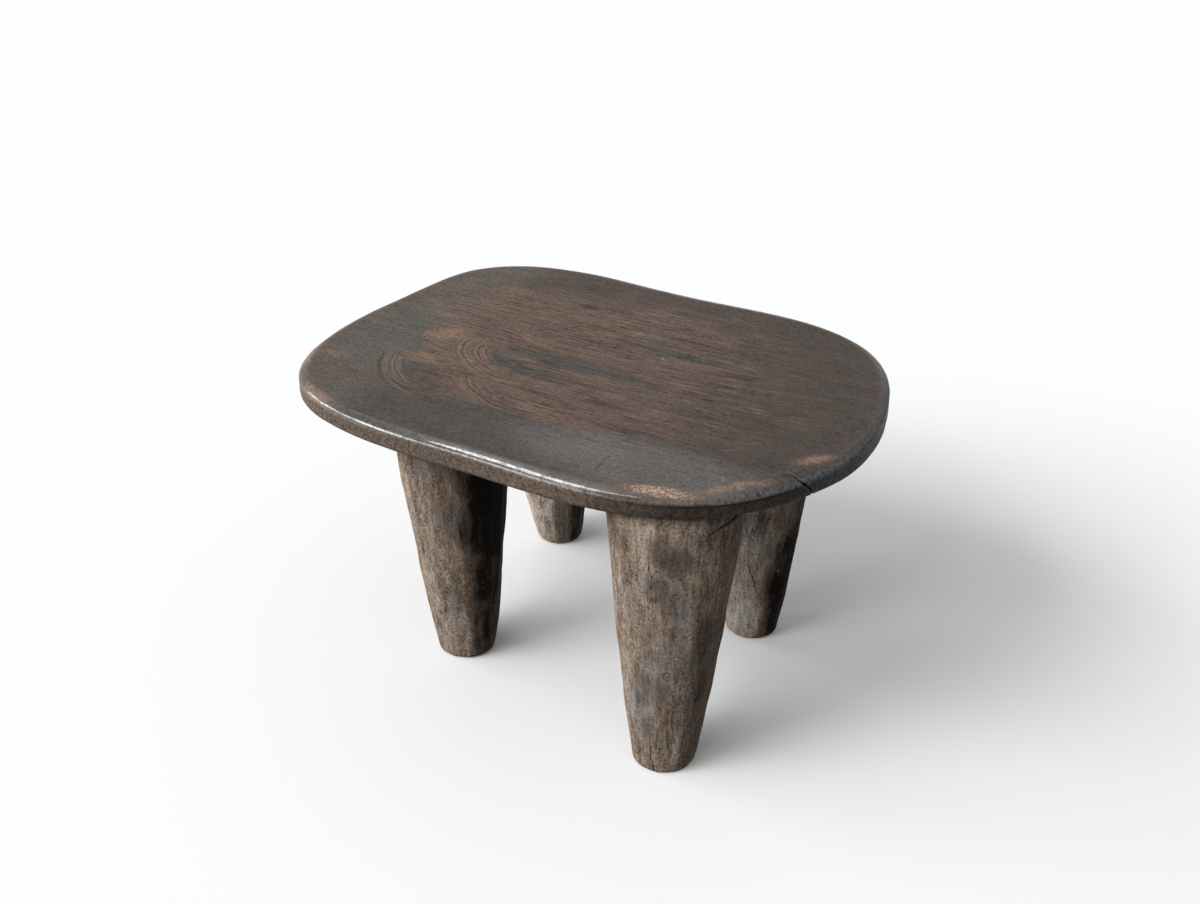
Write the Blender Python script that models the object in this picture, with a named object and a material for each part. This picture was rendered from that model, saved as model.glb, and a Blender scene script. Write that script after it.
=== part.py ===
# Hand-carved four-legged wooden stool
# Metres, +Z up. The origin is on the ground under the middle of the seat, +X along the seat's length.
# The front of the stool is at -Y.

import math

import bmesh
import bpy
from mathutils import Matrix

# Overall sizes
STOOL_HEIGHT = 0.2353
SEAT_LENGTH = 0.420
SEAT_WIDTH = 0.309

# Seat slab
SEAT_THICKNESS = 0.0169
SEAT_DISH_DEPTH = 0.003
RIM_TOP_ROUND = 0.0075
RIM_BOTTOM_ROUND = 0.0035
RIM_FLAT_WIDTH = 0.012
RIM_POINTS = 96
RIM_ROUND_STEPS = 4
DISH_STEPS = 4

# Seat outline: how square each end is, and how far the carver's edge strays from even
LEFT_END_SQUARENESS = 3.84
RIGHT_END_SQUARENESS = 2.74
SIDE_WAIST = 0.0109
SKEW = 0.0066
CORNER_SKEW = 0.0055
CORNER_PULL = 0.0040
CORNER_DRIFT = -0.0094

# Legs: each top's inset from the seat's end and side, how far the foot leans from under it in X and Y,
# and the radius at each end
FRONT_LEFT_INSET = (0.1229, 0.0874)
FRONT_LEFT_LEAN = (0.0022, 0.0052)
FRONT_LEFT_FOOT_RADIUS = 0.0215
FRONT_LEFT_TOP_RADIUS = 0.0454

FRONT_RIGHT_INSET = (0.1005, 0.0647)
FRONT_RIGHT_LEAN = (0.0029, -0.0157)
FRONT_RIGHT_FOOT_RADIUS = 0.0217
FRONT_RIGHT_TOP_RADIUS = 0.0489

REAR_RIGHT_INSET = (0.1128, 0.0767)
REAR_RIGHT_LEAN = (0.0028, -0.0074)
REAR_RIGHT_FOOT_RADIUS = 0.0199
REAR_RIGHT_TOP_RADIUS = 0.0466

REAR_LEFT_INSET = (0.1037, 0.0630)
REAR_LEFT_LEAN = (0.0015, 0.0217)
REAR_LEFT_FOOT_RADIUS = 0.0183
REAR_LEFT_TOP_RADIUS = 0.0460

LEG_FACETS = 18
LEG_STEPS = 8
LEG_FULLNESS = 0.8
FOOT_EDGE_HEIGHT = 0.003
FOOT_EDGE_INSET = 0.0012

# Stub tenon on each leg, and the socket it fills in the seat's underside
TENON_RADIUS = 0.020
TENON_LENGTH = 0.008
FIT_CLEARANCE = 0.0003
SOCKET_CUT_BELOW = 0.005

# Colours, linear
SEAT_COLOUR = (0.110, 0.088, 0.074, 1.0)
LEG_COLOUR = (0.135, 0.105, 0.082, 1.0)
SEAT_ROUGHNESS = 0.42
LEG_ROUGHNESS = 0.75

UNDERSIDE_HEIGHT = STOOL_HEIGHT - SEAT_THICKNESS
LEG_TOP_HEIGHT = UNDERSIDE_HEIGHT - FIT_CLEARANCE
TENON_TOP_HEIGHT = LEG_TOP_HEIGHT + TENON_LENGTH


def make_material(name, colour, roughness):
    material = bpy.data.materials.new(name)
    material.use_nodes = True
    shader = material.node_tree.nodes["Principled BSDF"]
    shader.inputs["Base Color"].default_value = colour
    shader.inputs["Roughness"].default_value = roughness
    shader.inputs["Metallic"].default_value = 0.0
    material.diffuse_color = colour
    return material


def make_object(name, bm, collection, parent):
    mesh = bpy.data.meshes.new(name)
    bm.to_mesh(mesh)
    bm.free()
    made = bpy.data.objects.new(name, mesh)
    made.parent = parent
    collection.objects.link(made)
    return made


def outline_point(turn):
    """A point of the seat's edge, in a square two units wide before the fit to length and width."""
    rightward = 0.5 + 0.5 * math.cos(turn)
    squareness = LEFT_END_SQUARENESS + (RIGHT_END_SQUARENESS - LEFT_END_SQUARENESS) * rightward
    along = abs(math.cos(turn)) ** squareness
    across = abs(math.sin(turn)) ** squareness
    reach = (along + across) ** (-1 / squareness)
    reach *= (
        1
        + SKEW * math.sin(2 * turn)
        + CORNER_SKEW * math.sin(4 * turn)
        + SIDE_WAIST * math.cos(6 * turn)
        + CORNER_PULL * math.cos(5 * turn)
        + CORNER_DRIFT * math.sin(5 * turn)
    )
    return reach * math.cos(turn), reach * math.sin(turn)


def seat_outline(count):
    """The seat's edge as points that fill exactly the seat's length and width."""
    points = [outline_point(2 * math.pi * step / count) for step in range(count)]
    xs = [x for x, y in points]
    ys = [y for x, y in points]
    fitted = []
    for x, y in points:
        along = (x - min(xs)) / (max(xs) - min(xs)) - 0.5
        across = (y - min(ys)) / (max(ys) - min(ys)) - 0.5
        fitted.append((along * SEAT_LENGTH, across * SEAT_WIDTH))
    return fitted


def seat_profile():
    """Inset and height of each line round the slab, from the underside over the rim to the middle."""
    lines = []
    for step in range(RIM_ROUND_STEPS + 1):
        bend = math.pi / 2 * step / RIM_ROUND_STEPS
        inset = RIM_BOTTOM_ROUND * (1 - math.sin(bend))
        height = UNDERSIDE_HEIGHT + RIM_BOTTOM_ROUND * (1 - math.cos(bend))
        lines.append((inset, height))
    for step in range(RIM_ROUND_STEPS + 1):
        bend = math.pi / 2 * step / RIM_ROUND_STEPS
        inset = RIM_TOP_ROUND * (1 - math.cos(bend))
        height = STOOL_HEIGHT - RIM_TOP_ROUND * (1 - math.sin(bend))
        lines.append((inset, height))
    dish_edge = RIM_TOP_ROUND + RIM_FLAT_WIDTH
    dish_reach = SEAT_WIDTH / 2 - dish_edge
    for step in range(DISH_STEPS):
        fall = step / DISH_STEPS
        inset = dish_edge + dish_reach * fall
        height = STOOL_HEIGHT - SEAT_DISH_DEPTH * (1 - (1 - fall) ** 2)
        lines.append((inset, height))
    return lines


def make_seat(collection, parent):
    outline = seat_outline(RIM_POINTS)
    lines = seat_profile()
    bm = bmesh.new()
    bmesh.ops.create_cone(
        bm,
        cap_ends=True,
        segments=RIM_POINTS,
        radius1=1.0,
        radius2=1.0,
        depth=1.0,
    )
    bm.verts.ensure_lookup_table()
    rings = (
        [vert for vert in bm.verts if vert.co.z < 0],
        [vert for vert in bm.verts if vert.co.z > 0],
    )
    for ring, (inset, height) in zip(rings, lines):
        for vert in ring:
            turn = math.atan2(vert.co.y, vert.co.x) % (2 * math.pi)
            x, y = outline[round(turn / (2 * math.pi) * RIM_POINTS) % RIM_POINTS]
            vert.co = (
                x * (1 - 2 * inset / SEAT_LENGTH),
                y * (1 - 2 * inset / SEAT_WIDTH),
                height,
            )
    bm.normal_update()
    cap = max((face for face in bm.faces if len(face.verts) == RIM_POINTS), key=lambda face: face.normal.z)
    for (last_inset, last_height), (inset, height) in zip(lines[1:], lines[2:]):
        cap = bmesh.ops.extrude_discrete_faces(bm, faces=[cap])["faces"][0]
        narrower = (
            (SEAT_LENGTH - 2 * inset) / (SEAT_LENGTH - 2 * last_inset),
            (SEAT_WIDTH - 2 * inset) / (SEAT_WIDTH - 2 * last_inset),
            1.0,
        )
        bmesh.ops.scale(bm, vec=narrower, verts=cap.verts)
        bmesh.ops.translate(bm, vec=(0.0, 0.0, height - last_height), verts=cap.verts)
    for face in bm.faces:
        face.smooth = True
    seat = make_object("seat", bm, collection, parent)
    seat.data.set_sharp_from_angle(angle=math.radians(40))
    seat.data.materials.append(make_material("dark_patinated_wood", SEAT_COLOUR, SEAT_ROUGHNESS))
    return seat


def leg_top(end, side, inset):
    """Where a leg meets the underside: end is -1 left or 1 right, side -1 front or 1 rear."""
    return end * (SEAT_LENGTH / 2 - inset[0]), side * (SEAT_WIDTH / 2 - inset[1])


def make_leg(name, top, lean, foot_radius, top_radius, collection, parent):
    """A leg grown section by section: a worn foot edge, a full taper that leans, and a stub tenon."""
    foot = (top[0] + lean[0], top[1] + lean[1])
    bm = bmesh.new()
    bmesh.ops.create_cone(
        bm,
        cap_ends=True,
        segments=LEG_FACETS,
        radius1=foot_radius - FOOT_EDGE_INSET,
        radius2=foot_radius,
        depth=FOOT_EDGE_HEIGHT,
        matrix=Matrix.Translation((foot[0], foot[1], FOOT_EDGE_HEIGHT / 2)),
    )
    bm.normal_update()
    cap = max((face for face in bm.faces if len(face.verts) == LEG_FACETS), key=lambda face: face.normal.z)
    sections = []
    for step in range(1, LEG_STEPS + 1):
        rise = step / LEG_STEPS
        place = (
            foot[0] + (top[0] - foot[0]) * rise,
            foot[1] + (top[1] - foot[1]) * rise,
            FOOT_EDGE_HEIGHT + (LEG_TOP_HEIGHT - FOOT_EDGE_HEIGHT) * rise,
        )
        radius = foot_radius + (top_radius - foot_radius) * rise ** LEG_FULLNESS
        sections.append((place, radius))
    sections.append(((top[0], top[1], LEG_TOP_HEIGHT), TENON_RADIUS))
    sections.append(((top[0], top[1], TENON_TOP_HEIGHT), TENON_RADIUS))
    last_place = (foot[0], foot[1], FOOT_EDGE_HEIGHT)
    last_radius = foot_radius
    for place, radius in sections:
        cap = bmesh.ops.extrude_discrete_faces(bm, faces=[cap])["faces"][0]
        shift = tuple(new - old for new, old in zip(place, last_place))
        bmesh.ops.translate(bm, vec=shift, verts=cap.verts)
        bmesh.ops.scale(
            bm,
            vec=(radius / last_radius, radius / last_radius, 1.0),
            verts=cap.verts,
            space=Matrix.Translation((-place[0], -place[1], -place[2])),
        )
        last_place = place
        last_radius = radius
    leg = make_object(name, bm, collection, parent)
    leg.data.materials.append(make_material(name + "_weathered_wood", LEG_COLOUR, LEG_ROUGHNESS))
    return leg


def cut_socket(seat, name, top, collection, parent):
    """A blind socket in the underside, as wide and deep as the tenon with the fit's clearance all round."""
    depth = TENON_LENGTH + FIT_CLEARANCE
    bm = bmesh.new()
    bmesh.ops.create_cone(
        bm,
        cap_ends=True,
        segments=LEG_FACETS,
        radius1=TENON_RADIUS + FIT_CLEARANCE,
        radius2=TENON_RADIUS + FIT_CLEARANCE,
        depth=depth + SOCKET_CUT_BELOW,
        matrix=Matrix.Translation((top[0], top[1], UNDERSIDE_HEIGHT + (depth - SOCKET_CUT_BELOW) / 2)),
    )
    cutter = make_object(name + "_socket", bm, collection, parent)
    cutter.hide_render = True
    cutter.display_type = "WIRE"
    cut = seat.modifiers.new(name + "_socket", "BOOLEAN")
    cut.operation = "DIFFERENCE"
    cut.solver = "EXACT"
    cut.object = cutter


# Clear the scene
for old in list(bpy.data.objects):
    bpy.data.objects.remove(old, do_unlink=True)

parts = bpy.data.collections.new("carved_wooden_stool")
bpy.context.scene.collection.children.link(parts)
cutters = bpy.data.collections.new("cutters")
cutters.hide_render = True
bpy.context.scene.collection.children.link(cutters)

stool = bpy.data.objects.new("carved_wooden_stool", None)
parts.objects.link(stool)

# Seat and legs
seat = make_seat(parts, stool)
front_left = leg_top(-1, -1, FRONT_LEFT_INSET)
front_right = leg_top(1, -1, FRONT_RIGHT_INSET)
rear_right = leg_top(1, 1, REAR_RIGHT_INSET)
rear_left = leg_top(-1, 1, REAR_LEFT_INSET)
legs = (
    ("front_left_leg", front_left, FRONT_LEFT_LEAN, FRONT_LEFT_FOOT_RADIUS, FRONT_LEFT_TOP_RADIUS),
    ("front_right_leg", front_right, FRONT_RIGHT_LEAN, FRONT_RIGHT_FOOT_RADIUS, FRONT_RIGHT_TOP_RADIUS),
    ("rear_right_leg", rear_right, REAR_RIGHT_LEAN, REAR_RIGHT_FOOT_RADIUS, REAR_RIGHT_TOP_RADIUS),
    ("rear_left_leg", rear_left, REAR_LEFT_LEAN, REAR_LEFT_FOOT_RADIUS, REAR_LEFT_TOP_RADIUS),
)
for name, top, lean, foot_radius, top_radius in legs:
    make_leg(name, top, lean, foot_radius, top_radius, parts, stool)
    cut_socket(seat, name, top, cutters, stool)
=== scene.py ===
# %% [markdown]
# # A low carved stool
#
# The stool is cut from one block of hard wood: a thin rounded seat, slightly dished, on four
# tapered legs. Its looks come from two things. The shapes are uneven, as an adze leaves them,
# and the wood is dark with smoke and handling, rubbed brown where people sit and tan where the
# rim is knocked. The lesson builds the shapes first and the finishes after.

# %% Load the frame
import math
import random

import bmesh
import bpy
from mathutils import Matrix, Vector, noise


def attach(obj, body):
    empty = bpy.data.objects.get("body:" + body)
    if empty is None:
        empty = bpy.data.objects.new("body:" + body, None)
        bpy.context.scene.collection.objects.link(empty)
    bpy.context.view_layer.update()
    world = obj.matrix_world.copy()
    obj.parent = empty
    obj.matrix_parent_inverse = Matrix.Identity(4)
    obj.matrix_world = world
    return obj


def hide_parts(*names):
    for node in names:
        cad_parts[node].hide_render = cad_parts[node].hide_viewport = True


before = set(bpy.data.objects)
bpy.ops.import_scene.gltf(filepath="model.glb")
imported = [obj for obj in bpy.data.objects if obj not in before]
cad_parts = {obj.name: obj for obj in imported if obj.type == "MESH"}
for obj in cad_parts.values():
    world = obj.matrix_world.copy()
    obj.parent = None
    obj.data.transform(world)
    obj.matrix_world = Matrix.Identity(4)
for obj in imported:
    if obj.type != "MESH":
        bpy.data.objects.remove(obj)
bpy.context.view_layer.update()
print("frame pieces:", sorted(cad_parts))

# %% Small sums
def between(first, second, share):
    """The value at a share of the way from one value to another."""
    return first + (second - first) * share


def limit(value):
    return min(max(value, 0), 1)


def smooth(value, low, high):
    """0 at low, 1 at high and smooth between; low may be the larger."""
    share = limit((value - low) / (high - low))
    return share * share * (3 - 2 * share)


def heading(turn, height=0.0):
    """The direction at a turn about the upright axis and a height, both in radians."""
    flat = math.cos(height)
    return Vector((math.cos(turn) * flat, math.sin(turn) * flat, math.sin(height)))


def wobble(*place):
    """Smooth noise about 0 at a place."""
    return noise.noise(Vector(place))


def neat(values, digits=4):
    return [round(v, digits) for v in values]


# %% [markdown]
# ## Camera
#
# The picture looks down on the stool from the front, a little to the right of square. A camera
# could be aimed with a tracking constraint, but fixed angles are easier to check: one turn
# about the upright axis and one tilt down, with a 48 mm lens.

# %% Place the camera
CAMERA_PLACE = (0.51598, -0.90666, 0.74930)
CAMERA_TURN = math.radians(29.64)
CAMERA_TILT = math.radians(29.22)
CAMERA_LENS = 48.0
SENSOR_WIDTH = 36.0

bpy.ops.object.camera_add(location=CAMERA_PLACE,
                          rotation=(math.pi / 2 - CAMERA_TILT, 0, CAMERA_TURN))
camera = bpy.context.object
camera.name = "camera"
camera.data.lens = CAMERA_LENS
camera.data.sensor_width = SENSOR_WIDTH
camera.data.sensor_fit = "HORIZONTAL"
bpy.context.scene.camera = camera
print("camera at", neat(camera.location, 3))

# %% [markdown]
# ## Writing finishes as sums
#
# A finish is a network of nodes, and most of them are arithmetic. This class wraps one socket,
# so that a line such as `1 - mask * 0.5` adds the Math nodes for it. Every other node comes from
# the `node` method, which sets the node's own settings first and its sockets after.

# %% A socket that does arithmetic
def feed(tree, node, values):
    """Fills a node's sockets: a Tint is linked, a plain number or colour is set."""
    for name, value in values.items():
        if isinstance(value, Tint):
            tree.links.new(value.socket, node.inputs[name])
        else:
            node.inputs[name].default_value = value


class Tint:
    def __init__(self, tree, socket):
        self.tree = tree
        self.socket = socket

    def node(self, kind, settings=None, sockets=None, output=0):
        made = self.tree.nodes.new(kind)
        for name, value in (settings or {}).items():
            setattr(made, name, value)
        feed(self.tree, made, sockets or {})
        return Tint(self.tree, made.outputs[output])

    def maths(self, operation, *values):
        return self.node("ShaderNodeMath", {"operation": operation}, dict(enumerate(values)))

    def __add__(self, other):
        return self.maths("ADD", self, other)

    def __sub__(self, other):
        return self.maths("SUBTRACT", self, other)

    def __rsub__(self, other):
        return self.maths("SUBTRACT", other, self)

    def __mul__(self, other):
        return self.maths("MULTIPLY", self, other)

    __radd__ = __add__
    __rmul__ = __mul__


def source(tree, kind, output):
    """One output of a new node, such as a coordinate."""
    return Tint(tree, tree.nodes.new(kind).outputs[output])


def new_finish(name):
    finish = bpy.data.materials.new(name)
    finish.use_nodes = True
    print("finish", name)
    return finish, finish.node_tree, finish.node_tree.nodes["Principled BSDF"]


print("sockets take +, - and *")

# %% Helpers for colours
DARKEST_SHADE = 0.2


def rise(value, low, high):
    """0 below low, 1 above high, smooth between; low may be the larger."""
    return value.node("ShaderNodeMapRange", {"interpolation_type": "SMOOTHSTEP"},
                      {"Value": value, "From Min": low, "From Max": high})


def blend(factor, first, second):
    """A colour between two colours."""
    colours = [c if isinstance(c, Tint) else (*c, 1) for c in (first, second)]
    return factor.node("ShaderNodeMix", {"data_type": "RGBA"},
                       {0: factor, 6: colours[0], 7: colours[1]}, output=2)


def paint(colour, *layers):
    """Lays several tones over a colour, each through a mask of its own."""
    for mask, tone in layers:
        colour = blend(mask, colour, tone)
    return colour


def shaded(colour, amount):
    """A colour made lighter or darker, never below a fifth of itself."""
    amount = amount.maths("MAXIMUM", amount, DARKEST_SHADE)
    return colour.node("ShaderNodeVectorMath", {"operation": "SCALE"}, {0: colour, "Scale": amount})


def fold(operation, tints):
    """One value from several, such as the largest."""
    result = tints[0]
    for tint in tints[1:]:
        result = result.maths(operation, result, tint)
    return result


print("colour helpers ready")

# %% Helpers for patterns
def stretch(place, across, along, up, shift=(0, 0, 0)):
    """Object coordinates scaled in each direction, in repeats per metre."""
    scaled = place.node("ShaderNodeVectorMath", {"operation": "MULTIPLY"},
                        {0: place, 1: (across, along, up)})
    return place.node("ShaderNodeVectorMath", {"operation": "ADD"}, {0: scaled, 1: shift})


def cloud(place, scale=1, detail=3.0, rough=0.55):
    """Soft noise about 0.5."""
    return place.node("ShaderNodeTexNoise", {"noise_dimensions": "3D"},
                      {"Vector": place, "Scale": scale, "Detail": detail, "Roughness": rough})


def vary(*layers):
    """Several noises added up, each brought about 0 and given a strength."""
    return fold("ADD", [(layer - 0.5) * strength for layer, strength in layers])


def bump(relief, strength, distance):
    return relief.node("ShaderNodeBump", None, {"Strength": strength, "Distance": distance,
                                                "Height": relief})


def stored(place, label):
    """A number kept on the points of a piece."""
    return place.node("ShaderNodeAttribute", {"attribute_name": label}, None, output=2)


def split_axes(place):
    parts = place.tree.nodes.new("ShaderNodeSeparateXYZ")
    feed(place.tree, parts, {0: place})
    return [Tint(place.tree, parts.outputs[axis]) for axis in "XYZ"]


def join_axes(across, along, up):
    return across.node("ShaderNodeCombineXYZ", None, {"X": across, "Y": along, "Z": up})


print("pattern helpers ready")

# %% [markdown]
# ## Light
#
# The stool stands in soft daylight from the front left. A row of three smaller, cooler lights
# low on the left, like windows, draws the long bright line on the rim, two more at the front
# carry it on to the right, and a weak light behind gives the top a little sheen. A lamp near the
# stool would leave the far floor dark, so all of them are suns with a wide disc: the disc's width
# makes the soft edge of the shadows, and every part of the floor gets the same light. The room
# itself is brighter above and to the left, which keeps the right sides of the legs dark, and
# beyond the floor the camera sees it as plain white.

# %% Set the lights
KEY_LIGHT = {"turn": -127, "height": 36, "width": 34, "strength": 2.23}
WINDOWS = [(180, 24), (-166, 30), (-152, 36)]
WINDOW_LIGHT = {"width": 13, "strength": 0.30, "colour": (0.91, 0.955, 1.0)}
FRONT_WINDOWS = [(-101, 37), (-90, 39)]
FRONT_WINDOW_LIGHT = {"width": 9, "strength": 0.15}
BACK_LIGHT = {"turn": 118, "height": 31, "width": 56, "strength": 0.10}
ROOM_BRIGHT_SIDE = (-0.36, -0.16, 0.92)
ROOM_BRIGHT = 0.43
ROOM_DIM = 0.10
ROOM_FADE = (-0.30, 0.95)
BACKDROP = 0.97
LAMP_DISTANCE = 2


def daylight(name, turn, height, width, strength, colour=(1, 1, 1)):
    toward = heading(math.radians(turn), math.radians(height))
    bpy.ops.object.light_add(type="SUN", location=toward * LAMP_DISTANCE,
                             rotation=toward.to_track_quat("Z", "Y").to_euler())
    lamp = bpy.context.object
    lamp.name = name
    lamp.data.angle = math.radians(width)
    lamp.data.energy = strength
    lamp.data.color = colour
    print(name, "comes from", neat(toward, 2))


daylight("key_light", **KEY_LIGHT)
for label, windows, light in (("window_light", WINDOWS, WINDOW_LIGHT),
                              ("front_window_light", FRONT_WINDOWS, FRONT_WINDOW_LIGHT)):
    for number, (turn, height) in enumerate(windows, 1):
        daylight(f"{label}_{number}", turn, height, **light)
daylight("back_light", **BACK_LIGHT)

# %% Set the room
def sees_white(tree):
    """1 for the rays that see the white background, 0 for those that light the stool."""
    total = fold("ADD", [source(tree, "ShaderNodeLightPath", f"Is {kind} Ray")
                         for kind in ("Camera", "Glossy", "Transmission")])
    return total.maths("MINIMUM", total, 1)


room = bpy.data.worlds.new("room_light")
room.use_nodes = True
tree = room.node_tree
facing = source(tree, "ShaderNodeTexCoord", "Generated")
toward_bright = facing.node("ShaderNodeVectorMath", {"operation": "DOT_PRODUCT"},
                            {0: facing, 1: ROOM_BRIGHT_SIDE}, output=1)
brightness = ROOM_DIM + rise(toward_bright, *ROOM_FADE) * (ROOM_BRIGHT - ROOM_DIM)
brightness = between(brightness, BACKDROP, sees_white(tree))
feed(tree, tree.nodes["Background"], {"Color": (1, 1, 1, 1), "Strength": brightness})
bpy.context.scene.world = room
bpy.context.scene.view_settings.view_transform = "Standard"
print("room light from", ROOM_DIM, "to", ROOM_BRIGHT)

# %% [markdown]
# ## Floor
#
# The stool stands on a plain white floor. The floor looks white to the camera, but it passes on
# less light than white would, because in the picture the shaded sides of the legs are nearly
# black. It also glows a little to the camera, which keeps its shadows pale. Light Path tells the
# two kinds of ray apart. From below the floor is clear, so the underside can be looked at too.

# %% Make the floor
FLOOR_SIZE = 12.0
FLOOR_WHITE = (0.94, 0.94, 0.94)
FLOOR_DIM = (0.16, 0.16, 0.16)
FLOOR_GLOW = (0.07, 0.07, 0.07)
NO_GLOW = (0.0, 0.0, 0.0)
FLOOR_ROUGHNESS = 0.9

bpy.ops.mesh.primitive_plane_add(size=FLOOR_SIZE)
floor = bpy.context.object
floor.name = "floor"
floor_finish, tree, floor_shader = new_finish("pale_floor")
seen = sees_white(tree)
feed(tree, floor_shader, {
    "Base Color": blend(seen, FLOOR_DIM, FLOOR_WHITE), "Roughness": FLOOR_ROUGHNESS,
    "Emission Color": blend(seen, NO_GLOW, FLOOR_GLOW), "Emission Strength": 1.0,
    "Alpha": 1 - source(tree, "ShaderNodeNewGeometry", "Backfacing"), "Specular IOR Level": 0.0,
})
floor.data.materials.append(floor_finish)
print("floor", FLOOR_SIZE, "m wide")

# %% [markdown]
# ## Seat: the plan
#
# The seat is an oval with nearly straight sides, fuller at one end than the other and a little
# skewed, because nobody measured it. The same formula gives the solid its edge, so the carved
# seat stays on the frame's seat. Each point of the edge is found from its turn about the middle.

# %% The seat's outline
SEAT_LENGTH = 0.420
SEAT_WIDTH = 0.309
SEAT_TOP = 0.2353
SEAT_UNDERSIDE = 0.2184
SEAT_THICKNESS = SEAT_TOP - SEAT_UNDERSIDE
LEFT_END_SQUARENESS = 3.84
RIGHT_END_SQUARENESS = 2.74
SIDE_WAIST = 0.0109
SKEW = 0.0066
CORNER_SKEW = 0.0055
CORNER_PULL = 0.0040
CORNER_DRIFT = -0.0094
PLAN_SAMPLES = 720


def plan_point(turn):
    across, along = math.cos(turn), math.sin(turn)
    square = between(LEFT_END_SQUARENESS, RIGHT_END_SQUARENESS, 0.5 + 0.5 * across)
    reach = (abs(across) ** square + abs(along) ** square) ** (-1 / square)
    reach *= (1 + SKEW * math.sin(2 * turn) + CORNER_SKEW * math.sin(4 * turn)
              + SIDE_WAIST * math.cos(6 * turn) + CORNER_PULL * math.cos(5 * turn)
              + CORNER_DRIFT * math.sin(5 * turn))
    return reach * across, reach * along


samples = [plan_point(2 * math.pi * i / PLAN_SAMPLES) for i in range(PLAN_SAMPLES)]
PLAN_LOW = [min(p[axis] for p in samples) for axis in (0, 1)]
PLAN_HIGH = [max(p[axis] for p in samples) for axis in (0, 1)]


def seat_edge(turn):
    across, along = plan_point(turn)
    across = (across - PLAN_LOW[0]) / (PLAN_HIGH[0] - PLAN_LOW[0]) - 0.5
    along = (along - PLAN_LOW[1]) / (PLAN_HIGH[1] - PLAN_LOW[1]) - 0.5
    return across * SEAT_LENGTH, along * SEAT_WIDTH


print("front right edge at", neat(seat_edge(math.radians(-40))))

# %% [markdown]
# ## Seat: the blank
#
# By hand, the seat starts as a round slab. A cylinder is added at the seat's length and height,
# its rim is cut into rows, and its top and underside are inset again and again, which leaves
# rings of points from the rim to the middle. The rings are closer near the rim, where the shape
# changes fastest. Last, the small face left in the middle is poked, so the rings close on a point.

# %% Start and change a piece
def only(piece):
    bpy.ops.object.select_all(action="DESELECT")
    piece.select_set(True)
    bpy.context.view_layer.objects.active = piece


def modify(piece, kind, **settings):
    """Adds a modifier to a piece and applies it."""
    only(piece)
    modifier = piece.modifiers.new(kind.lower(), kind)
    for name, value in settings.items():
        setattr(modifier, name, value)
    bpy.ops.object.modifier_apply(modifier=modifier.name)


def post(name, points, radius, low, high, middle=(0, 0)):
    """An upright cylinder, left in edit mode with its edges ready to pick."""
    bpy.ops.mesh.primitive_cylinder_add(vertices=points, radius=radius, depth=high - low,
                                        location=(*middle, (low + high) / 2))
    piece = bpy.context.object
    piece.name = name
    bpy.ops.object.transform_apply(location=True, rotation=False, scale=False)
    bpy.ops.object.mode_set(mode="EDIT")
    bpy.ops.mesh.select_mode(type="EDGE")
    return piece


print("meshes before carving:", len(bpy.data.meshes))

# %% Select and edit
MOSTLY = 0.9


def pick(piece, faces=None, edges=None):
    """In edit mode, selects the faces or edges for which the test is true."""
    bpy.ops.mesh.select_all(action="DESELECT")
    mesh = bmesh.from_edit_mesh(piece.data)
    for face in mesh.faces if faces else []:
        face.select_set(faces(face))
    for edge in mesh.edges if edges else []:
        edge.select_set(edges(edge))
    bmesh.update_edit_mesh(piece.data)


def upright(edge):
    first, second = (v.co for v in edge.verts)
    return abs(first.z - second.z) > MOSTLY * (first - second).length


def inset_rings(count, radius, crowding):
    """Insets the selected face to the middle, in rings that are closer near the rim."""
    reach = 1.0
    for ring in range(1, count):
        inner = 1 - (ring / count) ** crowding
        bpy.ops.mesh.inset(thickness=(reach - inner) * radius, depth=0)
        reach = inner
    bpy.ops.mesh.poke()


print("an edge is upright when", MOSTLY, "of it is height")

# %% Cut the blank
EDGE_POINTS = 288
RIM_ROWS = 72
TOP_RINGS = 80
TOP_CROWDING = 1.5
UNDERSIDE_RINGS = 30
UNDERSIDE_CROWDING = 1.2

seat = post("carved_seat", EDGE_POINTS, SEAT_LENGTH / 2, SEAT_UNDERSIDE, SEAT_TOP)
pick(seat, edges=upright)
bpy.ops.mesh.subdivide(number_cuts=RIM_ROWS - 1)
bpy.ops.mesh.select_mode(type="FACE")
pick(seat, faces=lambda face: face.normal.z > MOSTLY)
inset_rings(TOP_RINGS, SEAT_LENGTH / 2, TOP_CROWDING)
pick(seat, faces=lambda face: face.normal.z < -MOSTLY)
inset_rings(UNDERSIDE_RINGS, SEAT_LENGTH / 2, UNDERSIDE_CROWDING)
bpy.ops.object.mode_set(mode="OBJECT")
print("seat blank:", len(seat.data.polygons), "faces")

# %% [markdown]
# ## Seat: the carving
#
# Now every point of the blank moves to its place on the carved seat. The rim rows become a flat
# side, a tight worn corner, called an arris, and a slope up to the top. The top sinks to a shallow
# dish. Slow noise makes the surface as uneven as hand tools leave it. A bend modifier or sculpting
# could do parts of this, but a formula keeps the edge exactly on the frame's. While it moves, each
# point also keeps two numbers for the finish: how far it is in from the rim, and whether it is on
# the underside.

# %% Shapes along the rim
BOTTOM_ROUND = 0.0036
BOTTOM_SHARE = 0.16
SIDE_SHARE = 0.36
ARRIS_SHARE = 0.52
ARRIS_REACH = 0.0012
ROLL_REACH = {"least": 0.0062, "worn": 0.0036, "right": 0.0008, "uneven": 0.0006}
ROLL_DROP = {"least": 0.0033, "worn": 0.0017}
BEAD_INSET = 0.0038
BEAD_HEIGHT = 0.00076
BEAD_WIDTH = 0.0008
WORN_SECTOR = (-48, 44)  # middle and width, in degrees
RIGHT_SECTOR = (10, 60)
BEAD_SECTOR = (-74, 38)
SECTOR_FULL = 0.45  # share of a sector's width with the full effect


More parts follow.
